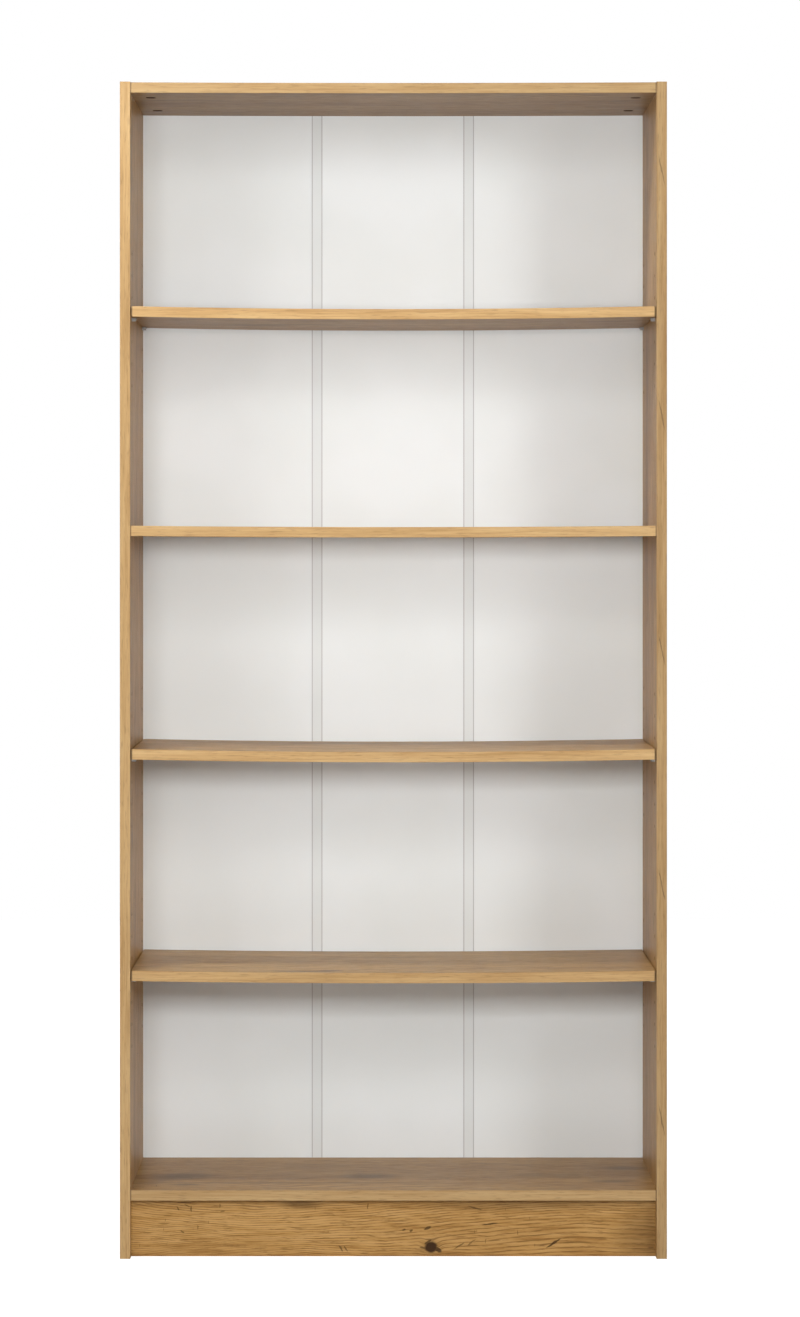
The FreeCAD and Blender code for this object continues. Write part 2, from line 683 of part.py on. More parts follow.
os.makedirs("parts", exist_ok=True)
for name in NODES:
    item = doc.getObjectsByLabel(name)[0]
    if item.Shape.isNull() or not item.Shape.isValid():
        raise RuntimeError("%s has no valid shape" % name)
    item.Shape.exportStep(os.path.join("parts", name + ".step"))
    bounds = item.Shape.BoundBox
    print("%-32s %2d solids  x %.1f..%.1f  y %.1f..%.1f  z %.1f..%.1f" % (
        name, len(item.Shape.Solids), bounds.XMin, bounds.XMax, bounds.YMin, bounds.YMax,
        bounds.ZMin, bounds.ZMax))
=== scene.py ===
import math

import bpy
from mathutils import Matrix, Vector


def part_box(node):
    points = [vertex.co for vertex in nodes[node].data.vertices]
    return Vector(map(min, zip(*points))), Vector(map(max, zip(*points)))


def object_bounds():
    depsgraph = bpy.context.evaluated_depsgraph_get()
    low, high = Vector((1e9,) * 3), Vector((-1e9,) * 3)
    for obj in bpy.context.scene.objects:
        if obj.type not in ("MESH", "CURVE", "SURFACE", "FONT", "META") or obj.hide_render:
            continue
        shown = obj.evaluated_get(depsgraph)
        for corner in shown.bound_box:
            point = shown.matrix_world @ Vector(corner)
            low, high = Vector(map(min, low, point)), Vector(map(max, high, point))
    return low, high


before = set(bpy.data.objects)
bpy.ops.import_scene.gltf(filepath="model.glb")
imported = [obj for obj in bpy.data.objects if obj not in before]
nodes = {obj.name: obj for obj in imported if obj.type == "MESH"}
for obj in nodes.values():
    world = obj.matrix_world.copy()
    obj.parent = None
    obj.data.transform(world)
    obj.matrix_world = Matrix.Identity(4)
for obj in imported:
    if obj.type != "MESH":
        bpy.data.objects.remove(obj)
cad_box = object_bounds()

# An open bookcase in rustic oak decor with a white back.  All of its shapes come from the frame;
# this script adds the finishes, the lamps, the floor and the camera.

# ------------------------------------------------------------------ measures, in metres

low, high = (Vector(corner) for corner in cad_box)
FRONT_Y = low.y
HEIGHT = high.z - low.z
JUST_BELOW = 0.0005

CAMERA_DISTANCE = 5.282
CAMERA_X = -0.015
CAMERA_Z = 1.0335
CAMERA_LENS = 100.0
CAMERA_SHIFT_X = 0.0129
CAMERA_SHIFT_Y = -0.0876


# ------------------------------------------------------------------ camera, lamps, floor

scene = bpy.context.scene
scene.view_settings.view_transform = "Standard"

camera_data = bpy.data.cameras.new("camera")
camera = bpy.data.objects.new("camera", camera_data)
scene.collection.objects.link(camera)
camera.location = (CAMERA_X, FRONT_Y - CAMERA_DISTANCE, CAMERA_Z)
camera.rotation_euler = (math.pi / 2, 0, 0)
camera_data.sensor_width = 36
camera_data.lens = CAMERA_LENS
camera_data.shift_x = CAMERA_SHIFT_X
camera_data.shift_y = CAMERA_SHIFT_Y
scene.camera = camera


def soft_lamp(name, place, target, width, height, power, gloss=True):
    """A rectangular lamp that points from its place at a target, with or without highlights."""
    data = bpy.data.lights.new(name, "AREA")
    data.shape = "RECTANGLE"
    data.size = width
    data.size_y = height
    data.energy = power
    lamp = bpy.data.objects.new(name, data)
    lamp.location = place
    lamp.rotation_euler = (Vector(target) - Vector(place)).to_track_quat("-Z", "Y").to_euler()
    lamp.visible_glossy = gloss
    scene.collection.objects.link(lamp)


MIDDLE = (0, 0, HEIGHT / 2)
soft_lamp("lamp_front", (-0.15, -3.6, 1.25), MIDDLE, 1.4, 0.45, 58, gloss=False)
soft_lamp("lamp_sheen", (0.04, -3.6, 1.25), (0.04, 0, 1.25), 0.58, 1.9, 8.6)
soft_lamp("lamp_high", (-0.45, -3.6, 2.6), MIDDLE, 1.0, 0.6, 12, gloss=False)
soft_lamp("lamp_over", (-0.25, -2.3, 2.9), MIDDLE, 0.9, 0.7, 6, gloss=False)
soft_lamp("lamp_left", (-2.6, -3.6, 2.35), MIDDLE, 0.9, 0.8, 16)
soft_lamp("lamp_right", (2.6, -3.6, 2.25), MIDDLE, 0.9, 1.6, 43)
soft_lamp("lamp_top", (-0.9, -0.80, 2.55), MIDDLE, 0.25, 0.25, 18)
soft_lamp("lamp_rear_left", (-2.4, 3.4, 2.2), MIDDLE, 1.8, 1.8, 60)
soft_lamp("lamp_rear_right", (2.4, 3.4, 2.2), MIDDLE, 1.8, 1.8, 40)


# ------------------------------------------------------------------ node building


# Sockets of a Mix node, which share their names between numbers and colours.
MIX_SHARE = 0
MIX_NUMBER_A = 2
MIX_NUMBER_B = 3
MIX_COLOUR_A = 6
MIX_COLOUR_B = 7
MIX_COLOUR_OUT = 2


class Tree:
    """Short calls for building a node tree: values are set, sockets are linked."""

    def __init__(self, owner):
        owner.use_nodes = True
        self.tree = owner.node_tree
        self.tree.nodes.clear()

    def new(self, kind):
        return self.tree.nodes.new(kind)

    def add(self, kind, inputs=None, output=0, **settings):
        node = self.new(kind)
        for key, value in settings.items():
            setattr(node, key, value)
        for key, value in (inputs or {}).items():
            self.feed(node.inputs[key], value)
        return node.outputs[output] if node.outputs else None

    def feed(self, socket, value):
        if isinstance(value, bpy.types.NodeSocket):
            self.tree.links.new(value, socket)
        else:
            socket.default_value = value

    def math(self, operation, first, second=0.0):
        return self.add("ShaderNodeMath", {0: first, 1: second}, operation=operation)

    def vector(self, operation, first, second=(0, 0, 0)):
        out = "Value" if operation in ("LENGTH", "DOT_PRODUCT") else "Vector"
        return self.add("ShaderNodeVectorMath", {0: first, 1: second}, output=out,
                        operation=operation)

    def stretch(self, position, scale, shift=(0, 0, 0)):
        return self.vector("ADD", self.vector("MULTIPLY", position, scale), shift)

    def place(self):
        """Position on the object, in metres."""
        return self.add("ShaderNodeTexCoord", output="Object")

    def facing(self):
        """Which way the surface points."""
        return self.add("ShaderNodeNewGeometry", output="True Normal")

    def split(self, position):
        node = self.new("ShaderNodeSeparateXYZ")
        self.feed(node.inputs[0], position)
        return node.outputs

    def noise(self, position, scale=1.0, detail=2.0, rough=0.5, output=0):
        return self.add("ShaderNodeTexNoise", {
            "Vector": position, "Scale": scale, "Detail": detail, "Roughness": rough}, output)

    def rise(self, value, start, stop, low_value=0.0, high_value=1.0):
        """A smooth step from one value to another while the input goes from start to stop."""
        return self.add("ShaderNodeMapRange", {
            "Value": value, "From Min": start, "From Max": stop, "To Min": low_value,
            "To Max": high_value}, interpolation_type="SMOOTHSTEP")

    def between(self, share, first, second):
        """A number between two others."""
        return self.add("ShaderNodeMix", {
            MIX_SHARE: share, MIX_NUMBER_A: first, MIX_NUMBER_B: second})

    def mix(self, share, first, second, blend="MIX"):
        """A colour between two others."""
        return self.add("ShaderNodeMix", {
            MIX_SHARE: share, MIX_COLOUR_A: first, MIX_COLOUR_B: second},
            MIX_COLOUR_OUT, data_type="RGBA", blend_type=blend)

    def ramp(self, value, stops):
        node = self.new("ShaderNodeValToRGB")
        self.feed(node.inputs[0], value)
        elements = node.color_ramp.elements
        while len(elements) < len(stops):
            elements.new(0.5)
        for element, (position, colour) in zip(elements, stops):
            element.position = position
            element.color = colour
        return node.outputs[0]

    def bump(self, heights, strength, distance):
        return self.add("ShaderNodeBump", {
            "Height": heights, "Strength": strength, "Distance": distance})

    def surface(self, colour, rough, normal, extra=None):
        inputs = {"Base Color": colour, "Roughness": rough, "Normal": normal}
        inputs.update(extra or {})
        shader = self.add("ShaderNodeBsdfPrincipled", inputs)
        self.add("ShaderNodeOutputMaterial", {"Surface": shader})


def rgb(red, green, blue):
    """A colour given by its display values from 0 to 255, as linear light."""
    linear = []
    for value in (red, green, blue):
        share = value / 255
        linear.append(share / 12.92 if share <= 0.04045 else ((share + 0.055) / 1.055) ** 2.4)
    return (*linear, 1.0)


# ------------------------------------------------------------------ world and floor

WORLD_LIGHT = 0.04      # brightness of the surroundings as a light
WORLD_SHOWN = 1.0       # and as the background that the camera sees
world = bpy.data.worlds.new("studio")
scene.world = world
tree = Tree(world)
path = tree.new("ShaderNodeLightPath")
shown = tree.math("MAXIMUM", path.outputs["Is Camera Ray"], path.outputs["Is Transmission Ray"])
strength = tree.between(shown, WORLD_LIGHT, WORLD_SHOWN)
sky = tree.add("ShaderNodeBackground", {"Color": (1, 1, 1, 1), "Strength": strength})
tree.add("ShaderNodeOutputWorld", {"Surface": sky})

FLOOR_REACH = 4.6
FLOOR_GREY = rgb(226, 226, 226)
FLOOR_GLOW_SHARE = 0.55         # how much of the floor's look is glow, where it is seen
FLOOR_GLOW_SHOWN = 1.72
FLOOR_GLOW_MIRRORED = 0.5
floor_mesh = bpy.data.meshes.new("floor")
corners = [(-FLOOR_REACH, -FLOOR_REACH), (FLOOR_REACH, -FLOOR_REACH),
           (FLOOR_REACH, FLOOR_REACH), (-FLOOR_REACH, FLOOR_REACH)]
floor_mesh.from_pydata([(x, y, low.z - JUST_BELOW) for x, y in corners], [], [(0, 1, 2, 3)])
floor = bpy.data.objects.new("floor", floor_mesh)
scene.collection.objects.link(floor)
floor_material = bpy.data.materials.new("floor")
tree = Tree(floor_material)
path = tree.new("ShaderNodeLightPath")
camera_ray = path.outputs["Is Camera Ray"]
seen = tree.math("MAXIMUM", camera_ray, path.outputs["Is Glossy Ray"])
matt = tree.add("ShaderNodeBsdfDiffuse", {"Color": FLOOR_GREY})
brightness = tree.between(camera_ray, FLOOR_GLOW_MIRRORED, FLOOR_GLOW_SHOWN)
glow = tree.add("ShaderNodeEmission", {"Color": (1, 1, 1, 1), "Strength": brightness})
share = tree.math("MULTIPLY", seen, FLOOR_GLOW_SHARE)
lifted = tree.add("ShaderNodeMixShader", {0: share, 1: matt, 2: glow})
tree.add("ShaderNodeOutputMaterial", {"Surface": lifted})
floor_mesh.materials.append(floor_material)


# ------------------------------------------------------------------ wood decor

# The axes along the grain, across it on the wide face, and through the board.
GRAIN = {"x": ("X", "Y", "Z"), "z": ("Z", "Y", "X"), "plinth": ("X", "Z", "Y"),
         "edge_x": ("X", "Z", "Y"), "edge_z": ("Z", "X", "Y")}


def grain_space(tree, layout):
    """Position with x along the grain, y across it and z through the board."""
    split = tree.split(tree.place())
    along, across, through = (split[axis] for axis in GRAIN[layout])
    return tree.add("ShaderNodeCombineXYZ", {0: along, 1: across, 2: through})


def shifted(seed):
    """Where a board lies in the endless print: every board shows its own part."""
    return (seed * 3.17, seed * 1.31, seed * 0.77)


MARK_RAGGED = (0.004, 0.0035, 0)        # how far the outline of a mark wanders


def marks(tree, place, spots, outer=1.15, inner=0.70):
    """Darkness of single marks: (along, across, half length, half width, degrees, depth)."""
    wobble = tree.noise(tree.stretch(place, (90, 160, 1)), detail=3, rough=0.6, output="Color")
    ragged = tree.stretch(tree.vector("SUBTRACT", wobble, (0.5, 0.5, 0.5)), MARK_RAGGED)
    flat = tree.vector("ADD", tree.vector("MULTIPLY", place, (1, 1, 0)), ragged)
    darkness = 0.0
    for along, across, half_long, half_wide, degrees, depth in spots:
        local = tree.add("ShaderNodeMapping", {
            "Vector": flat, "Location": (along, across, 0),
            "Rotation": (0, 0, math.radians(degrees)), "Scale": (half_long, half_wide, 1)},
            vector_type="TEXTURE")
        spot = tree.rise(tree.vector("LENGTH", local), outer, inner, 0.0, depth)
        darkness = tree.math("MAXIMUM", spot, darkness)
    return darkness


def knot_field(tree, space, cells, size, share):
    """Knots scattered one per cell: (darkness of the core, pull on the grain around it)."""
    node = tree.new("ShaderNodeTexVoronoi")
    tree.feed(node.inputs["Vector"], tree.stretch(space, cells))
    tree.feed(node.inputs["Scale"], 1.0)
    distance = node.outputs["Distance"]
    chance = tree.vector("DOT_PRODUCT", node.outputs["Color"], (1, 0, 0))
    chosen = tree.math("GREATER_THAN", chance, 1 - share)
    wobble = tree.noise(tree.stretch(space, (60, 160, 160)), detail=3)
    ragged = tree.math("ADD", distance, tree.math("MULTIPLY", wobble, size * 0.9))
    core = tree.rise(ragged, size * 1.35, size * 0.75)
    halo = tree.rise(distance, size * 5.5, 0.0)
    return tree.math("MULTIPLY", core, chosen), tree.math("MULTIPLY", halo, chosen)


LIGHT_OAK = rgb(201, 159, 98)
OAK = rgb(186, 143, 82)
DEEP_OAK = rgb(158, 115, 60)
LINE_OAK = rgb(106, 72, 36)
# The crack colour also paints shade at the joints of the edge bands.
CRACK_AND_JOINT_SHADE = rgb(54, 33, 17)
# The smudge colour serves the stains and also a painted shadow edge on the bottom panel.
SMUDGE_AND_SHADOW_LINE = rgb(96, 70, 40)
# Painted shade for the walls and floors of the bores.
PAINTED_BORE_SHADE = rgb(62, 43, 27)

KNOT_CELLS = (2.6, 7.0, 2.0)    # cells per metre in which a knot may lie
KNOT_SIZE = 0.045               # in shares of a cell
GRAIN_BENDING_MARK = 0.005      # marks wider than this bend the grain round them, as knots do
BEND = 0.060                    # slow wander of the grain
RIPPLE = 0.0060                 # quick wander of the grain
KNOT_PUSH = 0.006               # how far a knot pushes the grain aside
LINES_PER_METRE = 262.0
LINES_PER_CONTOUR = 38.0        # more of them make more arches
WOOD_SPECULAR = 0.20


def oak_decor(tree, layout, seed, figure=1.0, wear=1.0, knots=0.3, tone=None, spots=(),
              stains_and_shadow_lines=()):
    """Rustic oak print; on some boards its tone and listed stains add painted shade, painted
    sheen and a painted shadow line. Returns its colour, its roughness and a height for its pores.
    """
    place = grain_space(tree, layout)
    space = tree.vector("ADD", place, shifted(seed))
    core, halo = knot_field(tree, space, KNOT_CELLS, KNOT_SIZE, knots)
    if spots:
        wide_spots = [spot for spot in spots if spot[3] > GRAIN_BENDING_MARK]
        single = marks(tree, place, wide_spots, 2.2, 0.6)
        halo = tree.math("MAXIMUM", halo, tree.math("MULTIPLY", single, 0.8))

    # The grain wanders slowly, ripples quickly and bends round the knots.
    drift = tree.noise(tree.stretch(space, (1.7, 4.5, 1.0)), detail=1)
    ripple = tree.noise(tree.stretch(space, (17.0, 26.0, 6.0)), detail=2)
    bend = tree.math("MULTIPLY", tree.math("SUBTRACT", drift, 0.5), BEND)
    wave = tree.math("MULTIPLY", tree.math("SUBTRACT", ripple, 0.5), RIPPLE)
    push = tree.math("ADD", tree.math("ADD", bend, wave),
                     tree.math("MULTIPLY", halo, KNOT_PUSH))
    flow = tree.vector("ADD", space, tree.add("ShaderNodeCombineXYZ", {1: push}))
    across = tree.split(flow)["Y"]

    # Growth lines: straight where the field is even, arched where it turns.
    contour = tree.noise(tree.stretch(flow, (1.5, 7.5, 1.5)), detail=0)
    phase = tree.math("ADD", tree.math("MULTIPLY", across, LINES_PER_METRE),
                      tree.math("MULTIPLY", contour, LINES_PER_CONTOUR))
    ring = tree.math("SINE", tree.math("MULTIPLY", phase, 2 * math.pi))
    line = tree.rise(ring, 0.10, 1.0)
    broken = tree.noise(tree.stretch(flow, (34.0, 210.0, 30.0)), detail=3, rough=0.65)
    line = tree.math("MULTIPLY", line, tree.rise(broken, 0.34, 0.62, 0.20, 1.0))

    broad = tree.noise(tree.stretch(flow, (1.4, 17.0, 3.0)), detail=2)
    streak = tree.noise(tree.stretch(flow, (14.0, 190.0, 40.0)), detail=4, rough=0.65)
    fibre = tree.noise(tree.stretch(flow, (38.0, 430.0, 120.0)), detail=3, rough=0.6)
    depth = tree.math("ADD", tree.math("MULTIPLY", broad, 0.40),
                      tree.math("MULTIPLY", streak, 0.60))
    colour = tree.ramp(depth, [(0.38, DEEP_OAK), (0.50, OAK), (0.62, LIGHT_OAK)])
    colour = tree.mix(tree.math("MULTIPLY", line, 0.58 * figure), colour, LINE_OAK)
    pore = tree.rise(fibre, 0.44, 0.32)
    colour = tree.mix(tree.math("MULTIPLY", pore, 0.45 * figure), colour, LINE_OAK)

    # Soft stains, dark splits along the grain and short ticks across it, in places only.
    cloud = tree.noise(tree.stretch(space, (3.4, 12.0, 2.0), (7.3, 1.9, 0)), detail=3)
    stain_and_shadow_line = tree.math("MULTIPLY", tree.rise(cloud, 0.60, 0.78), 0.55 * wear)
    # Listed stains darken in the smudge colour; on the bottom panel, one long thin line of them
    # is a painted shadow edge.
    if stains_and_shadow_lines:
        stain_and_shadow_line = tree.math("MAXIMUM", stain_and_shadow_line, marks(tree, place, stains_and_shadow_lines, 1.35, 0.2))
    colour = tree.mix(stain_and_shadow_line, colour, SMUDGE_AND_SHADOW_LINE)
    where = tree.noise(tree.stretch(space, (5.0, 16.0, 3.0), (4.1, 2.2, 0)), detail=1)
    split_line = tree.noise(tree.stretch(flow, (30.0, 260.0, 40.0), (1.7, 5.3, 0)), detail=2)
    crack = tree.math("MULTIPLY", tree.rise(where, 0.58, 0.68), tree.rise(split_line, 0.62, 0.68))
    tick_line = tree.noise(tree.stretch(space, (330.0, 60.0, 30.0), (0, 3.9, 0)), detail=1)
    tick = tree.math("MULTIPLY", tree.rise(where, 0.42, 0.34), tree.rise(tick_line, 0.74, 0.80))
    damage = tree.math("MULTIPLY", tree.math("MAXIMUM", crack, tick), 0.75 * wear)
    colour = tree.mix(tree.math("MULTIPLY", halo, 0.35), colour, SMUDGE_AND_SHADOW_LINE)
    damage = tree.math("MAXIMUM", damage, tree.math("MULTIPLY", core, 0.9))
    if spots:
        damage = tree.math("MAXIMUM", damage, marks(tree, place, spots))
    colour = tree.mix(damage, colour, CRACK_AND_JOINT_SHADE)
    # On top_panel and shelf_upper the tone is painted shade, on shelf_middle and shelf_lower
    # painted sheen.
    if tone:
        colour = tree.mix(1.0, colour, (*tone, 1), "MULTIPLY")

    height = tree.math("SUBTRACT", tree.math("MULTIPLY", fibre, 0.6),
                       tree.math("ADD", tree.math("MULTIPLY", line, 0.25),
                                 tree.math("MULTIPLY", damage, 0.5)))
    rough = tree.rise(fibre, 0.3, 0.7, 0.46, 0.35)
    return colour, rough, height


JOINT_SHADE_START = 0.0022    # the painted shade of the joint at the end of a band begins this far from the end and is darkest from here on
JOINT_SHADE_FULL = 0.0008     # and is darkest from here on


def band_decor(tree, layout, seed, share, spots=(), half_length=None):
    """Oak print of the edge bands: fine straight streaks, a few marks, a brightness share that is
    partly painted light, and painted shade at the joints at both ends.
    """
    place = grain_space(tree, layout)
    space = tree.vector("ADD", place, shifted(seed))
    ripple = tree.noise(tree.stretch(space, (9.0, 30.0, 30.0)), detail=2)
    wave = tree.math("MULTIPLY", tree.math("SUBTRACT", ripple, 0.5), 0.006)
    flow = tree.vector("ADD", space, tree.add("ShaderNodeCombineXYZ", {1: wave}))
    broad = tree.noise(tree.stretch(flow, (2.6, 60.0, 20.0)), detail=2)
    streak = tree.noise(tree.stretch(flow, (12.0, 420.0, 200.0)), detail=4, rough=0.62)
    fibre = tree.noise(tree.stretch(flow, (48.0, 520.0, 500.0)), detail=3)
    tone = tree.math("ADD", tree.math("MULTIPLY", broad, 0.45),
                     tree.math("MULTIPLY", streak, 0.55))
    colour = tree.ramp(tone, [(0.36, rgb(197, 153, 96)), (0.50, rgb(219, 177, 119)),
                              (0.64, rgb(233, 195, 138))])
    pore = tree.rise(fibre, 0.46, 0.30)
    colour = tree.mix(tree.math("MULTIPLY", pore, 0.30), colour, LINE_OAK)
    faint = tree.noise(tree.stretch(space, (4.5, 40.0, 30.0), (2.9, 0.4, 0)), detail=2)
    colour = tree.mix(tree.math("MULTIPLY", tree.rise(faint, 0.60, 0.76), 0.30), colour, DEEP_OAK)
    if spots:
        colour = tree.mix(marks(tree, place, spots), colour, SMUDGE_AND_SHADOW_LINE)
    # The share darkens the whole band; it is set per band and is partly painted light and shade.
    colour = tree.mix(1.0, colour, (share, share, share, 1), "MULTIPLY")
    # Both ends of a band get a dark line of painted shade, where the band meets the next part.
    if half_length is not None:
        along = tree.math("ABSOLUTE", tree.split(place)["X"])
        joint_shade = tree.rise(along, half_length - JOINT_SHADE_START, half_length - JOINT_SHADE_FULL, 0.0, 0.6)
        colour = tree.mix(joint_shade, colour, CRACK_AND_JOINT_SHADE)
    return colour, tree.rise(fibre, 0.3, 0.7, 0.50, 0.40), fibre


def chipboard(tree):
    """Raw particle board: pale chips of mixed size pressed together, with small gaps."""
    place = tree.place()
    chips = tree.new("ShaderNodeTexVoronoi")
    tree.feed(chips.inputs["Vector"], tree.stretch(place, (330, 330, 420)))
    tree.feed(chips.inputs["Scale"], 1.0)
    chance = tree.vector("DOT_PRODUCT", chips.outputs["Color"], (1, 0, 0))
    grit = tree.noise(place, 900.0, 4, 0.6)
    tone = tree.math("ADD", tree.math("MULTIPLY", chance, 0.6),
                     tree.math("MULTIPLY", grit, 0.4))
    colour = tree.ramp(tone, [(0.1, rgb(126, 96, 64)), (0.45, rgb(180, 146, 104)),
                              (0.85, rgb(208, 178, 136))])
    height = tree.math("ADD", tree.math("MULTIPLY", chips.outputs["Distance"], -0.5), grit)
    return colour, height


OUTER_SKIN = 0.003      # deeper than this below the wide faces is inside a bore
END_SKIN = 0.0008       # and this far from the ends


def inside_bore(tree, node, face_axis, decor):
    """One on the walls and floors of the holes drilled into a board, zero elsewhere."""
    place = tree.split(tree.place())
    near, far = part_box(node)

    def within(axis, margin):
        index = "XYZ".index(axis)
        centre = (near[index] + far[index]) / 2
        off = tree.math("ABSOLUTE", tree.math("SUBTRACT", place[axis], centre))
        return tree.math("LESS_THAN", off, (far[index] - near[index]) / 2 - margin)

    wall = tree.math("SUBTRACT", 1.0, decor)
    found = tree.math("MAXIMUM", wall, within(face_axis, OUTER_SKIN))
    for axis in "XYZ":
        if axis != face_axis:
            found = tree.math("MULTIPLY", found, within(axis, END_SKIN))
    return found


def wood_material(name, layout, seed, face_axis, **look):
    """Decor on the faces that point along face_axis, raw chipboard on all others, and painted
    shade in the bores of boards other than shelves.
    """
    material = bpy.data.materials.new(name)
    tree = Tree(material)
    colour, rough, height = oak_decor(tree, layout, seed, **look)
    core_colour, core_height = chipboard(tree)
    facing = tree.split(tree.facing())[face_axis]
    decor = tree.math("GREATER_THAN", tree.math("ABSOLUTE", facing), 0.9)
    colour = tree.mix(decor, core_colour, colour)
    # The walls and floors of the bores get painted shade.
    if not name.startswith("shelf"):
        colour = tree.mix(inside_bore(tree, name, face_axis, decor), colour, PAINTED_BORE_SHADE)
    rough = tree.between(decor, 0.85, rough)
    height = tree.between(decor, tree.math("MULTIPLY", core_height, 4.0), height)
    tree.surface(colour, rough, tree.bump(height, 0.35, 0.00025),
                 {"Specular IOR Level": WOOD_SPECULAR})
    return material


def band_material(name, layout, seed, share, spots=(), half_length=None):
    """Edge band; with a half length, its two ends show a dark line of painted shade at the joint.
    """
    material = bpy.data.materials.new(name)
    tree = Tree(material)
    colour, rough, height = band_decor(tree, layout, seed, share, spots, half_length)
    tree.surface(colour, rough, tree.bump(height, 0.25, 0.0002))
    return material


# ------------------------------------------------------------------ other materials


def plain_material(name, colour, second, rough, speck=900.0, metal=0.0, stretch=(1, 1, 1)):
    """A manufactured surface: two close tones, uneven gloss and a fine relief."""
    material = bpy.data.materials.new(name)
    tree = Tree(material)
    place = tree.stretch(tree.place(), stretch)
    wide = tree.noise(place, 9.0, 2)
    fine = tree.noise(place, speck, 3, 0.6)
    shade = tree.math("ADD", tree.math("MULTIPLY", wide, 0.55), tree.math("MULTIPLY", fine, 0.45))
    mixed = tree.mix(tree.rise(shade, 0.35, 0.65), colour, second)
    gloss = tree.rise(fine, 0.3, 0.7, rough * 0.85, rough * 1.15)
    tree.surface(mixed, gloss, tree.bump(fine, 0.3, 0.0001), {"Metallic": metal})
    return material


def fibreboard_material(name):
    """White lacquered face towards the shelves, raw brown fibre behind and on the edges."""
    material = bpy.data.materials.new(name)
    tree = Tree(material)
    place = tree.place()
    wide = tree.noise(place, 5.0, 2)
    peel = tree.noise(place, 420.0, 2, 0.5)
    white = tree.mix(tree.rise(wide, 0.35, 0.65), rgb(235, 240, 241), rgb(239, 244, 246))
    fibre = tree.noise(place, 1500.0, 3, 0.65)
    clump = tree.noise(place, 160.0, 3, 0.6)
    tone = tree.math("ADD", tree.math("MULTIPLY", fibre, 0.5), tree.math("MULTIPLY", clump, 0.5))
    brown = tree.ramp(tone, [(0.3, rgb(96, 66, 42)), (0.5, rgb(128, 92, 62)),
                             (0.7, rgb(150, 112, 78))])
    facing = tree.split(tree.facing())["Y"]
    front = tree.math("LESS_THAN", facing, -0.9)
    colour = tree.mix(front, brown, white)
    rough = tree.between(front, 0.8, tree.rise(peel, 0.3, 0.7, 0.16, 0.20))
    relief = tree.between(front, fibre, peel)
    tree.surface(colour, rough, tree.bump(relief, 0.12, 0.00006))
    return material


GROOVE_SHADE_START = 0.0016   # the groove, a bump darkened with painted shade, begins this far from the edge of a strip and is deepest from here on
GROOVE_SHADE_FULL = 0.0010    # and is deepest from here on


def strip_material(node):
    """White extruded plastic with a groove along both long edges: a bumped dip darkened with
    painted shade.
    """
    material = bpy.data.materials.new(node)
    tree = Tree(material)
    near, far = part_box(node)
    centre = (near[0] + far[0]) / 2
    half = (far[0] - near[0]) / 2
    place = tree.place()
    drawn = tree.noise(tree.stretch(place, (900, 900, 20)), detail=2)
    wide = tree.noise(place, 6.0, 1)
    white = tree.mix(tree.rise(wide, 0.35, 0.65), rgb(228, 233, 234), rgb(232, 237, 238))
    off = tree.math("ABSOLUTE", tree.math("SUBTRACT", tree.split(place)["X"], centre))
    edge = tree.rise(off, half - GROOVE_SHADE_START, half - GROOVE_SHADE_FULL)
    groove_and_painted_shade = tree.math("MULTIPLY", edge, 0.55)
    # The darkening along both edges is painted shade; the dip in the relief is a bump.
    colour = tree.mix(groove_and_painted_shade, white, rgb(150, 142, 146))
    height = tree.math("SUBTRACT", tree.math("MULTIPLY", drawn, 0.15), groove_and_painted_shade)
    tree.surface(colour, tree.rise(drawn, 0.3, 0.7, 0.18, 0.24), tree.bump(height, 0.3, 0.0002))
    return material


def assign(node, material):
    for slot in nodes[node].material_slots:
        slot.material = material


# ------------------------------------------------------------------ marks and looks


# Single marks of the print: (along, across, half length, half width, degrees, depth).
# The first ones of the plinth make up its knot.
PLINTH_SPOTS = (
    (0.0546, 0.0131, 0.0098, 0.0085, 0, 0.95), (0.0640, 0.0100, 0.0070, 0.0034, -25, 0.85),
    (0.0500, 0.0205, 0.0060, 0.0020, 30, 0.75), (0.0440, 0.0120, 0.0060, 0.0014, -10, 0.65),
    (0.0150, 0.0385, 0.0030, 0.0016, 20, 0.7), (0.0260, 0.0375, 0.0030, 0.0016, 30, 0.7),
    (0.0495, 0.0405, 0.0060, 0.0020, 25, 0.75), (0.1400, 0.0470, 0.0120, 0.0013, 8, 0.8),
    (0.2320, 0.0190, 0.0130, 0.0016, 32, 0.85), (0.0950, 0.0150, 0.0090, 0.0012, 35, 0.6),
    (0.1130, 0.0200, 0.0080, 0.0012, 35, 0.5), (0.1180, 0.0700, 0.0110, 0.0012, -14, 0.6),
    (-0.0760, 0.0110, 0.0060, 0.0012, -58, 0.6), (-0.0690, 0.0110, 0.0050, 0.0012, -50, 0.6),
    (-0.2930, 0.0690, 0.0050, 0.0010, 90, 0.7), (-0.2990, 0.0735, 0.0050, 0.0010, -20, 0.6),
    (-0.3120, 0.0690, 0.0040, 0.0010, -60, 0.6), (-0.2510, 0.0730, 0.0035, 0.0009, 90, 0.5),
    (-0.2830, 0.0420, 0.0035, 0.0009, 90, 0.5), (-0.0370, 0.0725, 0.0050, 0.0010, 90, 0.55),
    (-0.3060, 0.0360, 0.0035, 0.0010, -40, 0.6), (-0.2470, 0.0650, 0.0040, 0.0012, 5, 0.5),
)
PLINTH_STAINS = (
    (-0.1350, 0.0760, 0.0330, 0.0085, -3, 0.6), (0.3700, 0.0300, 0.0500, 0.0500, 0, 0.45),
    (0.1900, 0.0740, 0.1700, 0.0090, 0, 0.35),
)
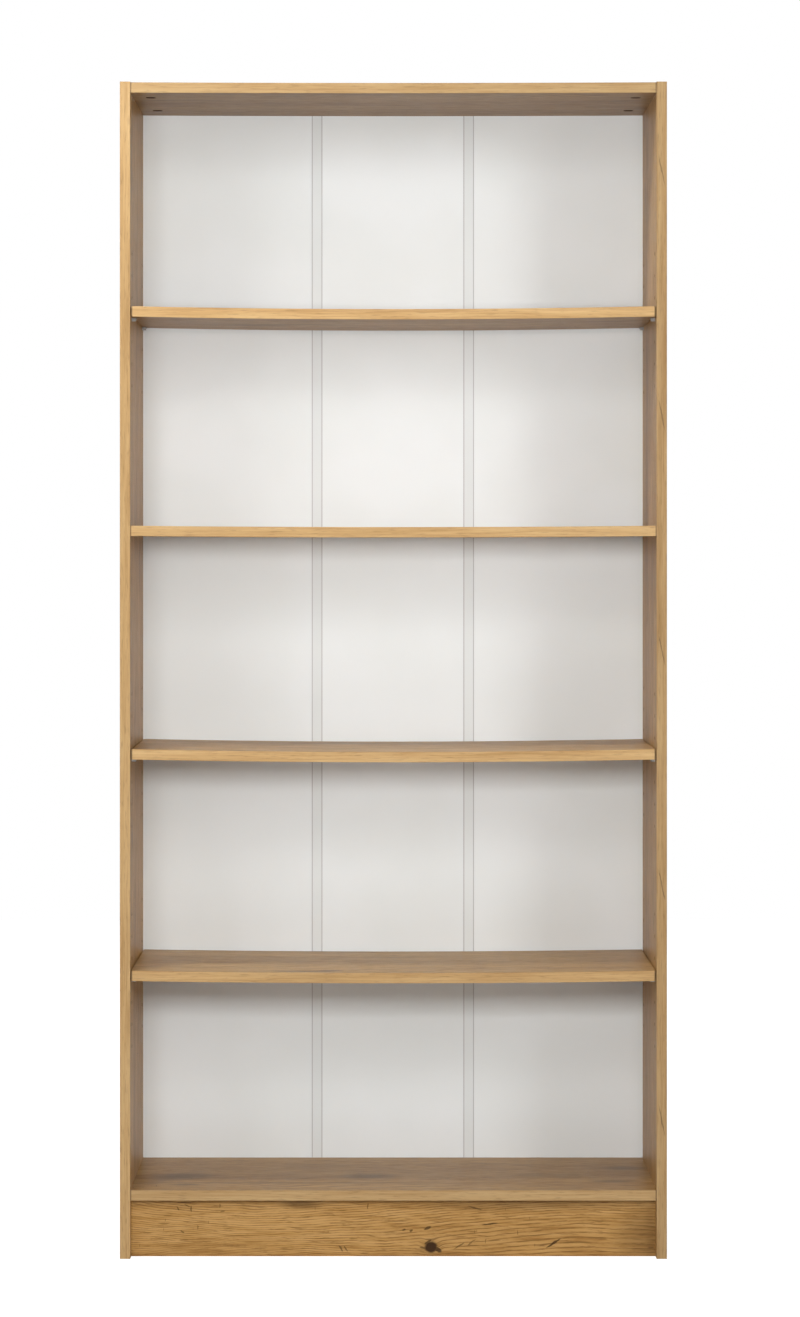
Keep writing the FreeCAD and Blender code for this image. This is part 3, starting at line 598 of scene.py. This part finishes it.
# Marks on the top of the bottom panel: stains, and one long thin line across it (across -0.082)
# that is a painted shadow edge.
BOTTOM_STAINS_AND_SHADOW_LINE = (
    (-0.3070, -0.0260, 0.0480, 0.0300, 8, 0.6), (-0.0370, -0.0260, 0.0480, 0.0220, 5, 0.6),
    (0.3470, 0.0430, 0.0400, 0.0200, 0, 0.6), (0.3200, -0.0690, 0.0350, 0.0120, 0, 0.65),
    (-0.1500, -0.0820, 0.2600, 0.0040, 0, 0.8), (-0.3000, -0.0960, 0.0260, 0.0090, 0, 0.7),
)
LOWER_SPOTS = ((-0.1280, -0.1230, 0.0520, 0.0050, 1, 0.8),
               (-0.0900, -0.1120, 0.0200, 0.0040, 3, 0.7))
# Five faint slanting marks down the right front edge band.
BAND_SPOTS = tuple((level, 0.3875, 0.0230, 0.0010, -12, 0.55)
                   for level in (0.200, 0.540, 0.879, 1.218, 1.572))

# Per board: grain layout, axis of its wide faces, part of the print, and other settings. The
# tones of top_panel and shelf_upper are painted shade all over the boards, those of shelf_middle
# and shelf_lower painted sheen; the bottom_panel and plinth tones make them darker.
LOOKS = {
    "side_panel_left": ("z", "X", 1, {}), "side_panel_right": ("z", "X", 2, {}),
    # top_panel and shelf_upper: their tones are painted shade, darker all over, also seen from
    # above.
    "top_panel": ("x", "Z", 3, {"tone": (0.64, 0.63, 0.60)}), "fixed_shelf": ("x", "Z", 4, {}),
    "bottom_panel": ("x", "Z", 5, {"stains_and_shadow_lines": BOTTOM_STAINS_AND_SHADOW_LINE, "tone": (0.79, 0.775, 0.71)}),
    "shelf_upper": ("x", "Z", 6, {"tone": (0.75, 0.735, 0.69)}),
    # shelf_middle and shelf_lower: their tones are painted sheen, paler and greyer all over.
    "shelf_middle": ("x", "Z", 7, {"tone": (1.04, 1.08, 1.12)}),
    "shelf_lower": ("x", "Z", 8, {"spots": LOWER_SPOTS, "tone": (1.0, 1.04, 1.06)}),
    "plinth": ("plinth", "Y", 9, {"knots": 0.0, "figure": 1.2, "wear": 0.8,
                                  "tone": (0.915, 0.91, 0.925),
                                  "spots": PLINTH_SPOTS, "stains_and_shadow_lines": PLINTH_STAINS}),
}
for node, (layout, face_axis, seed, look) in LOOKS.items():
    assign(node, wood_material(node, layout, seed, face_axis, **look))

# Each share is partly the band's own lightness and partly painted light: the left side band is
# lighter than the right.
for seed, side, share, spots in ((11, "left", 0.66, ()), (12, "right", 0.55, BAND_SPOTS)):
    band = band_material("side_edge_" + side, "edge_z", seed, share, spots)
    assign("side_front_edge_" + side, band)
    assign("side_top_edge_" + side, band)
# These shares are partly the bands' own lightness and partly painted light and shade, making
# lighter and darker copies of one band print.
BANDED = (("top_panel", 0.57), ("shelf_upper", 0.75), ("fixed_shelf", 0.72),
          ("shelf_middle", 0.72), ("shelf_lower", 0.69), ("bottom_panel", 0.60))
for seed, (board, share) in enumerate(BANDED, 21):
    edge_low, edge_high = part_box(board + "_edge")
    assign(board + "_edge", band_material(board + "_edge", "edge_x", seed, share,
                                          half_length=(edge_high[0] - edge_low[0]) / 2))

white_board = fibreboard_material("white_fibreboard")
for part in ("left", "centre", "right"):
    assign("back_panel_" + part, white_board)
for side in ("left", "right"):
    assign("back_strip_" + side, strip_material("back_strip_" + side))
# The cam locks' zinc is painted dark, as painted shade of their recessed bores.
zinc = plain_material("zinc", rgb(66, 62, 58), rgb(84, 80, 76), 0.55, metal=0.5)
steel = plain_material("steel", rgb(178, 178, 178), rgb(200, 200, 198), 0.3, metal=1.0)
beech = plain_material("beech", rgb(205, 168, 122), rgb(222, 190, 148), 0.6, speck=300.0,
                       stretch=(0.06, 1, 1))
for board in ("top_panel", "fixed_shelf", "bottom_panel"):
    assign("cam_locks_" + board, zinc)
    assign("cam_bolts_" + board, steel)
    assign("dowels_" + board, beech)
assign("dowels_plinth", beech)
assign("back_nails", steel)
for node in nodes:
    if "_support_" in node:
        assign(node, steel)
